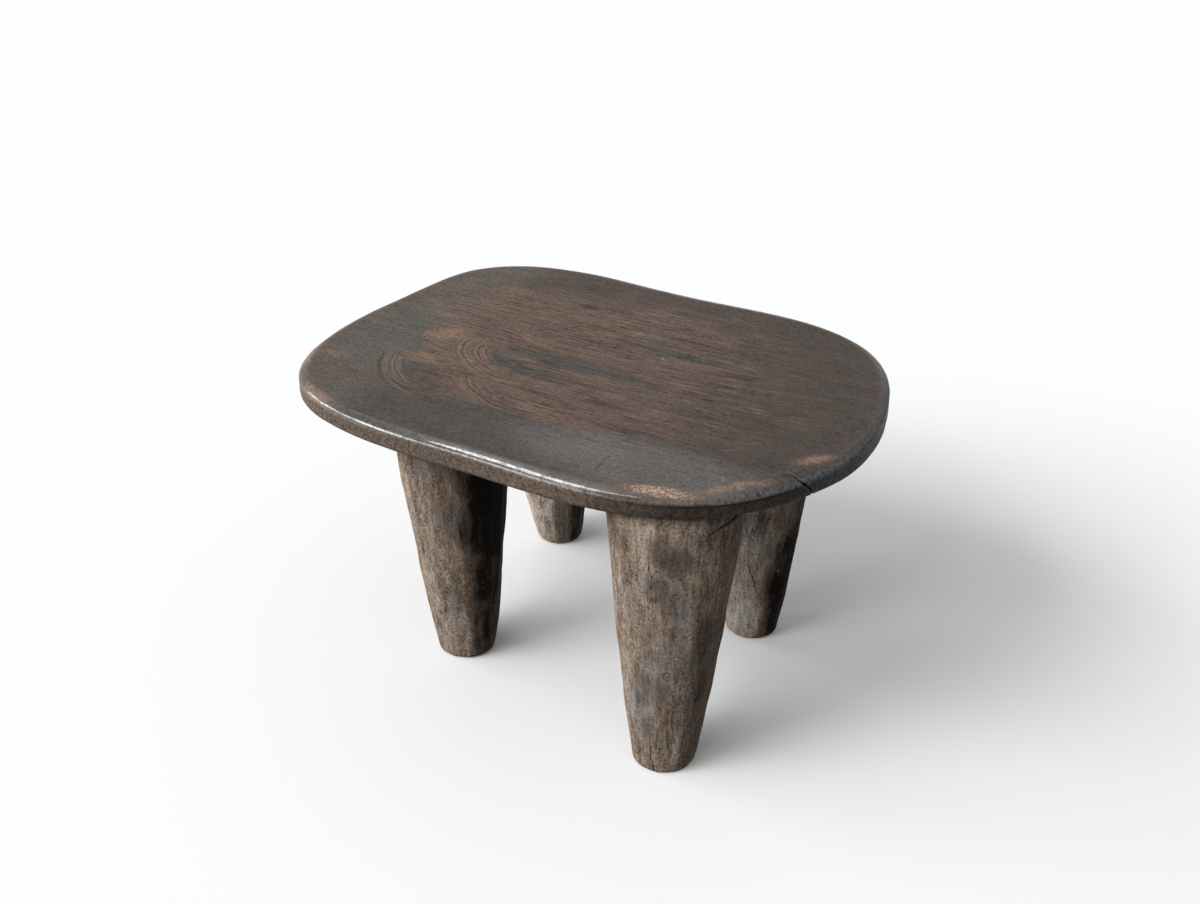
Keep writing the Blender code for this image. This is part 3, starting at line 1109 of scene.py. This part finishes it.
def stroke_bundle(middle, squash, inner, outer, rise_from, ends):
    """Where a bundle of strokes lies, and its lines and dashes."""
    wander = vary((cloud(stretch(place, 1, 1, 1, (2.0, 5.0, 0.0)), 40, 2), 0.004))
    first = across.maths("MINIMUM", across - middle[0], 0) * squash
    second = along - middle[1]
    total = first * first + second * second
    size = total.maths("SQRT", total) + wander
    where = rise(size, inner - 0.004, inner + 0.004) * rise(size, outer + 0.003, outer - 0.003)
    where = where * rise(second, rise_from, rise_from - 0.014) * rise(across, *ends)
    return where, *streaks_along(size * 1.35, across + along * 0.5)


places, tans = [], []
for tan, bundle in STROKES:
    where, stroke_lines, stroke_dashes = stroke_bundle(**bundle)
    long_lines = between(long_lines, stroke_lines, where)
    dashes = between(dashes, stroke_dashes, where)
    places.append(where)
    tans.append(where * tan)
strokes, scraped = fold("MAXIMUM", places), fold("MAXIMUM", tans)
print(len(STROKES), "bundles of strokes")

# %% Ragged places on the seat
comb = cloud(stretch(place, 9, 230, 60), 1, 3, 0.6) - 0.5
drift_across = vary((cloud(place, 26, 4, 0.65), 0.030))
drift_along = vary((cloud(stretch(place, 1, 1, 1, (3.1, 7.7, 1.3)), 32, 4, 0.65), 0.024))
LOOSE = (across + drift_across + comb * 0.040, along + drift_along)
TIGHT = (across + drift_across * 0.25 + comb * 0.014, along + drift_along * 0.25)


def spread(where, middle_across, middle_along, half_across, half_along, lean=0):
    """Squared distance from the middle of an ellipse on the seat, 1 at its edge."""
    away_across = where[0] - middle_across
    away_along = where[1] - middle_along
    cosine, sine = math.cos(math.radians(lean)), math.sin(math.radians(lean))
    first = away_across * (cosine / half_across) + away_along * (sine / half_across)
    second = away_along * (cosine / half_along) - away_across * (sine / half_along)
    return first * first + second * second


def patch(where, soft, *ellipse):
    """1 inside an ellipse on the seat, 0 outside."""
    return rise(spread(where, *ellipse), 1 + soft, 1 - soft)


def nearest(where, ellipses):
    """The smallest squared distance to any of several ellipses."""
    return fold("MINIMUM", [spread(where, *ellipse) for ellipse in ellipses])


print("ragged places ready")

# %% Patches of wear
RUBBED_PATCHES = [
    (-0.096, 0.083, 0.066, 0.014), (-0.085, 0.060, 0.060, 0.020), (-0.060, 0.024, 0.050, 0.014),
    (-0.070, -0.056, 0.040, 0.030), (0.015, -0.078, 0.040, 0.014, -6), (0.052, 0.034, 0.030, 0.012),
    (0.100, 0.033, 0.040, 0.010), (0.100, -0.048, 0.042, 0.016, 8), (0.010, 0.110, 0.028, 0.008),
]
CHARRED_PATCHES = [
    (-0.166, -0.030, 0.024, 0.050), (-0.128, -0.059, 0.018, 0.008), (-0.045, -0.124, 0.100, 0.032),
    (-0.014, 0.000, 0.052, 0.007), (0.036, 0.050, 0.030, 0.006), (-0.147, 0.127, 0.015, 0.009),
    (-0.167, 0.104, 0.010, 0.008), (-0.062, -0.021, 0.026, 0.007, -12),
]
BRUSHED_PATCHES = [
    (-0.148, 0.080, 0.018, 0.007), (-0.095, 0.079, 0.024, 0.010), (-0.013, 0.066, 0.014, 0.006),
    (0.001, -0.014, 0.018, 0.006), (-0.012, -0.070, 0.030, 0.008), (0.035, -0.082, 0.018, 0.008),
    (-0.082, 0.023, 0.012, 0.006),
]
FIELD = (-0.007, 0.010, 0.165, 0.108)

field = patch(LOOSE, 0.75, *FIELD)
brushed = rise(nearest(LOOSE, BRUSHED_PATCHES), 1.8, 0.3)
charred = rise(nearest(LOOSE, CHARRED_PATCHES), 2.2, 0.1)
rub = field * (0.60 + vary((broad_grain, 0.6), (long_lines, 0.35)))
rub = rub + rise(nearest(LOOSE, RUBBED_PATCHES), 1.8, 0.2) * 0.40 - charred * 0.60
rub = rise(rub + vary((shade, 0.7), (blotch, 0.6)), -0.05, 0.95)
print("wear from", len(RUBBED_PATCHES), "rubbed and", len(CHARRED_PATCHES), "charred patches")

# %% Scuffed corner
SCUFF_BRIGHT = (-0.133, -0.004, 0.017, 0.0095, 30)
SCUFF_LOW = (-0.126, -0.046, 0.016, 0.0085, 24)
SCUFF_WIDE = (-0.120, -0.023, 0.030, 0.033)
SCUFF_SIDE = (0.855, 0.520)
SCUFF_START = (-0.1598, 0.0050)
PINK_SPOT = (-0.179, -0.076, 0.013, 0.006, 6)

past_side = ((TIGHT[0] - SCUFF_START[0]) * SCUFF_SIDE[0]
             + (TIGHT[1] - SCUFF_START[1]) * SCUFF_SIDE[1])
scuff = rise(past_side, -0.0010, 0.0040) * patch(TIGHT, 0.50, *SCUFF_WIDE)
bright_scuff = rise(past_side, 0.0000, 0.0040) * patch(TIGHT, 0.60, *SCUFF_BRIGHT)
low_scuff = patch(TIGHT, 0.60, *SCUFF_LOW)
pink_spot = patch(LOOSE, 0.9, *PINK_SPOT)
print("scuffed corner starts at", SCUFF_START)

# %% Scratches
SCRATCHES = [  # start, end and strength
    (0.0271, 0.0439, 0.0371, 0.0351, 0.8), (-0.0055, 0.0728, -0.0080, 0.0627, 0.5),
    (-0.0971, -0.0326, -0.0820, -0.0289, 0.5), (0.0133, -0.0263, 0.0153, -0.0319, 0.7),
    (0.0459, 0.1255, 0.0547, 0.1272, 0.4), (0.1410, -0.0441, 0.1480, -0.0427, 0.3),
    (0.1300, -0.0640, 0.1363, -0.0590, 0.5), (0.1476, -0.0991, 0.1501, -0.1054, 0.8),
    (0.0660, -0.0730, 0.0680, -0.0725, 0.7), (-0.1225, -0.1406, -0.0925, -0.1456, 0.25),
]
SCRATCH_WIDTH = 0.00055
DARK_LINE = (0.0686, -0.1066, 0.0699, -0.1305, 0.5, 0.0009)
CRACK_SHADE = (0.1660, -0.0697, 0.1856, -0.0732, 0.8, 0.0010)


def scratch(start_across, start_along, end_across, end_along, strength, width=SCRATCH_WIDTH):
    """A thin line between two points of the seat."""
    run = Vector((end_across - start_across, end_along - start_along))
    length = run.length
    run.normalize()
    first = across + drift_across * 0.08 - start_across
    second = along + drift_along * 0.08 - start_along
    forward = first * run.x + second * run.y
    aside = second * run.x - first * run.y
    ends = rise(forward, -0.001, 0.001) * rise(forward, length + 0.001, length - 0.001)
    return rise(aside * aside, width ** 2, (width * 0.3) ** 2) * ends * strength


pale_lines = fold("MAXIMUM", [scratch(*line) for line in SCRATCHES]) * rise(dust, 0.30, 0.60)
dark_line = scratch(*DARK_LINE)
crack_shade = scratch(*CRACK_SHADE)
print(len(SCRATCHES), "pale scratches")

# %% Knocks on the rim
RIM_KNOCKS = [  # middle, half length, half width, lean
    (0.119, -0.1330, 0.024, 0.0055, 15), (-0.156, -0.1330, 0.019, 0.0058, -24),
    (0.158, -0.1056, 0.022, 0.0034, 48), (0.1880, -0.0475, 0.0115, 0.0044, 48),
    (-0.1980, -0.0880, 0.005, 0.0160, 14),
]
BRIGHTEST_KNOCK = (0.114, -0.1335, 0.018, 0.0070, 13)
WORN_LINE = (0.045, -0.1462, 0.060, 0.0026, 3)

knock = nearest(TIGHT, RIM_KNOCKS)
near_rim = rise(edge, -0.0045, -0.0010)
fleck = cloud(place, 700, 3, 0.65)
knock_halo = rise(knock, 3.6, 0.2) * near_rim
knock_tan = rise(knock + (0.5 - dust) * 2.6 + (0.5 - speckle) * 2.0, 1.7, 0.0) * near_rim
brightest = patch(TIGHT, 0.9, *BRIGHTEST_KNOCK)
knock_core = rise(knock + (0.5 - fleck) * 2.6, 1.1, 0.2) * rise(fleck + dust * 0.5, 0.66, 0.88)
knock_core = knock_core * near_rim * (0.22 + 0.78 * brightest)
worn_line = patch(TIGHT, 0.8, *WORN_LINE) * near_rim
print(len(RIM_KNOCKS), "knocks on the rim")

# %% Colour of the top
SHEEN = (0.094, -0.110, 0.090, 0.032)
DARK_SPOT = (-0.0625, 0.0942, 0.009, 0.0035)

# Painted reflection: the sheen patch lays a pale grey sheen into the colour at the front of the
# top, and lowers the roughness there too.
sheen = patch(LOOSE, 0.8, *SHEEN)
colour = paint(blend(rub, DEEP_BROWN, RUBBED), (charred * 0.75, CHARCOAL),
               (rise(across, 0.05, 0.17) * 0.75, DEEP_BROWN), (sheen * 0.80, PAINTED_SHEEN_GREY))
end_shade = 1 + rise(across, -0.105, -0.155) * 0.40 - rise(across, 0.00, 0.13) * 0.14
streaks = 1 + vary((long_lines, 0.25 + field + strokes * 1.2), (dashes, 0.25 + field * 0.9),
                   (dust, 1.9), (blotch, 0.6), (broad_grain, field * 0.6))
bunched = fold("MAXIMUM", [rise(clusters, 0.46, 0.64) * 0.6, brushed])
light_dashes = rise(dashes, 0.53, 0.68) * bunched * (0.10 + field * 0.9)
colour = paint(shaded(colour, streaks * end_shade),
               (scuff * rise(dashes + dust * 0.5, 0.55, 0.90) * 0.40, SCUFFED),
               (low_scuff * rise(dashes + dust * 0.5, 0.50, 0.90) * 0.50, SCUFFED),
               (bright_scuff * rise(dust + dashes * 0.5, 0.52, 0.90) * 0.85, SCUFFED),
               (pink_spot * rise(dust + blotch * 0.5, 0.60, 0.90) * 0.60, SCUFFED),
               (light_dashes * 0.65, SCUFFED),
               (rise(dashes, 0.52, 0.66) * scraped * 0.75, SCUFFED),
               (rise(long_lines, 0.44, 0.30) * (0.08 + strokes * 0.50), DARK_GRAIN_AND_SHADE),
               (patch(TIGHT, 0.6, *DARK_SPOT) * 0.6, DARK_GRAIN_AND_SHADE))
print("top of the seat coloured")

# %% Colour of the rim and underside
FRONT_RIGHT = (0.157, -0.105, 0.052, 0.040, 42)
UNDER_KNOCK = (0.125, -0.142, 0.050, 0.016, 14)
STEP_SHADE_LINE = {"edge": -0.0052, "outer": 0.0010, "inner": 0.0004}

right_end = rise(across - along * 0.5, 0.175, 0.215)
side = rise(edge - right_end * 0.0042, -0.0010, -0.0045)
lower_side = rise(edge, -0.0045, -0.0068)
front_left = rise(along + across * 0.45 - lower_side * 0.06, -0.02, -0.09)
front_right = patch(TIGHT, 0.5, *FRONT_RIGHT)
# Painted shade: the lower face of the rim at the front right is darkened, as it lies in shadow
# under the roll.
lower_face_shade = rise(edge, -0.0048, -0.0062) * front_right
under_knock = patch(TIGHT, 0.6, *UNDER_KNOCK) * rise(edge, -0.0020, -0.0034)
# Painted shade: a dark line along the crease of the step under the roll.
step_away = edge - STEP_SHADE_LINE["edge"]
step_shade_line = rise(step_away * step_away, STEP_SHADE_LINE["outer"] ** 2, STEP_SHADE_LINE["inner"] ** 2)
rim_colour = paint(blend(0.08 + 0.92 * front_left, STEEL, RIM_BROWN),
                   (lower_face_shade * 0.80, LOWER_BROWN), (under_knock * 0.60, LOWER_BROWN))
rim_colour = paint(shaded(rim_colour, 1 + vary((speckle, 2.8), (dust, 1.8))),
                   (step_shade_line * front_right * 0.75, DARK_GRAIN_AND_SHADE),
                   (rise(edge, -0.0142, -0.0156) * 0.85, EDGE_BROWN))
broken = 0.35 + 0.65 * rise(dust + speckle, 0.84, 1.16)
under_grain = rise(cloud(stretch(place, 30, 160, 160), 1, 4, 0.65), 0.35, 0.68)
colour = paint(colour, (side, rim_colour), (worn_line * 0.45, WORN_EDGE),
               (knock_halo * 0.50, WORN_EDGE),
               (knock_tan * broken * (0.58 + 0.34 * brightest), KNOCK_TAN),
               (knock_core * 0.90, KNOCKED), (dark_line, DARK_GRAIN_AND_SHADE), (crack_shade, DARK_GRAIN_AND_SHADE),
               (pale_lines, PALE_SCRATCH), (under, blend(under_grain, DARK_GRAIN_AND_SHADE, RAW_UNDER)))
print("rim and underside coloured")

# %% Gloss and touch of the seat
polish = rise(edge, -0.006, -0.002) * rise(edge, 0.010, 0.004)
gloss = (0.52 - polish * 0.20 + vary((shade, 0.20), (dust, 0.25)) - sheen * 0.10
         + under * 0.25 + knock_core * 0.15)
roll_gloss = 0.05 + 0.38 * rise(across, 0.14, 0.00) + 0.57 * rise(across, -0.045, -0.095)
bead_gloss = ((0.20 + 0.80 * rise(across, 0.12, 0.06))
              * (0.30 + 0.70 * rise(across, -0.10, -0.03)))
glaze = polish * (0.40 + 0.60 * rise(dust * 0.6 + speckle * 0.4, 0.38, 0.57))
glaze = glaze * between(roll_gloss, bead_gloss, rise(edge, -0.0002, 0.0010))
relief = (long_lines * 0.6 + dashes * 0.4 + dust * 0.6 + broad_grain * 0.35 - dark_line
          - crack_shade - pale_lines * 0.3 + speckle * side * 0.7)
feed(tree, seat_shader, {
    "Base Color": colour, "Roughness": gloss, "Normal": bump(relief, 0.40, 0.0005),
    "Coat Weight": glaze * (1 - rise(across, -0.138, -0.172) * 0.65),
    "Coat Roughness": 0.11, "Coat IOR": 1.9, "Specular IOR Level": 0.05,
})
print("seat finish:", len(tree.nodes), "nodes")

# %% [markdown]
# ## Finish of the legs
#
# The legs were never rubbed by sitting. Their wood is dry and grey-brown, with upright fibres,
# sooty mottling, fine checks and paler chips at the feet. The pattern is noise stretched
# upright, so one finish serves all four legs and each leg cuts a different part of it. The sooty
# and the ashy sides of each leg were kept as numbers on its points while it was hewn. The sooty
# side is the side turned from the light, so its black is soot and painted shade together. A few
# smudges beside it are painted shade as well, and the lit front of each leg is made paler with
# painted light.

# %% Colour of the legs
DRY_WOOD = (0.270, 0.212, 0.168)
PALE_WOOD = (0.460, 0.390, 0.320)
BROWN_WOOD = (0.135, 0.095, 0.070)
ASH_WOOD = (0.222, 0.210, 0.196)
SMUDGE_AND_SHADE_GREY = (0.060, 0.050, 0.046)
SOOT_AND_SHADE = (0.007, 0.0055, 0.0045)
FOOT_CHIP = (0.400, 0.280, 0.170)

leg_finish, tree, leg_shader = new_finish("weathered_wood")
place = source(tree, "ShaderNodeTexCoord", "Object")
up = split_axes(place)[2]
soot_and_shade, ashy, smudge_and_shade, painted_light = (stored(place, label)
                              for label in ("soot_and_shade", "ashy", "smudge_and_shade", "painted_light"))
fibre = cloud(stretch(place, 380, 380, 60), 1, 3, 0.65)
coarse_fibre = cloud(stretch(place, 120, 120, 10), 1, 3, 0.6)
grit = cloud(place, 520, 2, 0.6)
fine_grit = cloud(stretch(place, 1, 1, 1, (7, 3, 5)), 820, 2, 0.6)
mottle = cloud(stretch(place, 62, 62, 36), 1, 4, 0.65)
ash = cloud(stretch(place, 18, 18, 11, (1, 9, 4)))
tone = vary((mottle, 1.3), (coarse_fibre, 1.1), (grit, 0.5))
ashen = rise(ashy + vary((ash, 1.2), (mottle, 0.8)), 0.25, 0.95)
# Smudges, a few of them painted shade beside the dark side of the front left leg.
smoky_and_shaded = rise(smudge_and_shade + vary((mottle, 1.6), (coarse_fibre, 0.8), (grit, 0.6)), 0.18, 0.80)
colour = paint(blend(rise(tone, -0.35, 0.20), BROWN_WOOD, DRY_WOOD),
               (rise(tone, 0.08, 0.45) * 0.55, PALE_WOOD), (ashen * 0.70, ASH_WOOD),
               (smoky_and_shaded * 0.75, SMUDGE_AND_SHADE_GREY))
speckles = 1 + vary((grit, 1.7), (fine_grit, 1.3), (fibre, 1.9))
check_rows = cloud(stretch(place, 95, 95, 8, (2, 4, 6)), 1, 2, 0.5) - 0.5
checks = rise(check_rows * check_rows, 0.00010, 0.00001) * rise(cloud(place, 34, 2), 0.54, 0.64)
# The sooty side, turned from the light, is painted black: soot and painted shade together.
sooted_and_shaded = rise(soot_and_shade * 1.25 + vary((mottle, 1.5), (coarse_fibre, 1.1), (grit, 0.7)), 0.40, 0.95)
# The colour is lifted by the painted light on the lit front of each leg.
colour = paint(shaded(colour, speckles * (1 + painted_light)), (checks * 0.60, SOOT_AND_SHADE), (sooted_and_shaded, SOOT_AND_SHADE))
print("legs coloured")

# %% Chips and edges of the legs
PALE_CHIPS = [  # leg, turn, height, size
    ("front_right_leg", -74, 0.140, 0.0022), ("front_right_leg", -51, 0.133, 0.0030),
    ("front_right_leg", -44, 0.207, 0.0026), ("front_right_leg", -69, 0.1765, 0.0016),
    ("front_left_leg", -48, 0.052, 0.0018), ("rear_right_leg", -29, 0.067, 0.0018),
]


def chip_mask(name, turn, height, size):
    *middle, radius = leg_axis(LEGS[name], height / LEG_TOP)
    where = heading(math.radians(turn)) * radius + Vector((*middle, height))
    away = place.node("ShaderNodeVectorMath", {"operation": "DISTANCE"}, {0: place, 1: where},
                      output=1)
    return rise(away + vary((grit, 0.005)), size, size * 0.3)


foot = rise(up, 0.018, 0.001) * (1 - soot_and_shade)
colour = paint(colour, *((chip_mask(*chip) * 0.7, PALE_WOOD) for chip in PALE_CHIPS),
               (foot * rise(grit + coarse_fibre, 0.94, 1.20) * 0.60, FOOT_CHIP),
               # painted shade: a dark line where each foot meets the floor, and a darker band at
               # the top of each leg, under the seat
               (rise(up, 0.0022, 0.0004) * 0.7, SOOT_AND_SHADE), (rise(up, 0.207, 0.2185) * 0.45, SOOT_AND_SHADE))
print(len(PALE_CHIPS), "pale chips")

# %% Gloss and touch of the legs
relief = fibre * 0.6 + grit * 0.7 + coarse_fibre * 0.6 - checks * 0.9
feed(tree, leg_shader, {
    "Base Color": colour, "Roughness": 0.76 + vary((fibre, 0.25)),
    "Normal": bump(relief, 0.70, 0.0008), "Specular IOR Level": 0.05,
})
print("leg finish:", len(tree.nodes), "nodes")

# %% [markdown]
# ## Put the pieces on the frame
#
# Each carved piece takes the place of its plain solid, rides on the stool's one body and names
# the finish that it takes. Smooth shading by angle keeps the soft surfaces soft and the cracks
# crisp.

# %% Shade, finish and fix
SHARP = math.radians(38)


def fix(piece, node, finish):
    only(piece)
    bpy.ops.object.shade_smooth_by_angle(angle=SHARP)
    piece.data.materials.clear()
    piece.data.materials.append(finish)
    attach(piece, "root")
    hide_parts(node)
    triangles = sum(len(face.vertices) - 2 for face in piece.data.polygons)
    print(piece.name, "stands for", node, "with", triangles, "triangles")


fix(seat, "seat", seat_finish)
for name, blank in blanks.items():
    fix(blank, name, leg_finish)
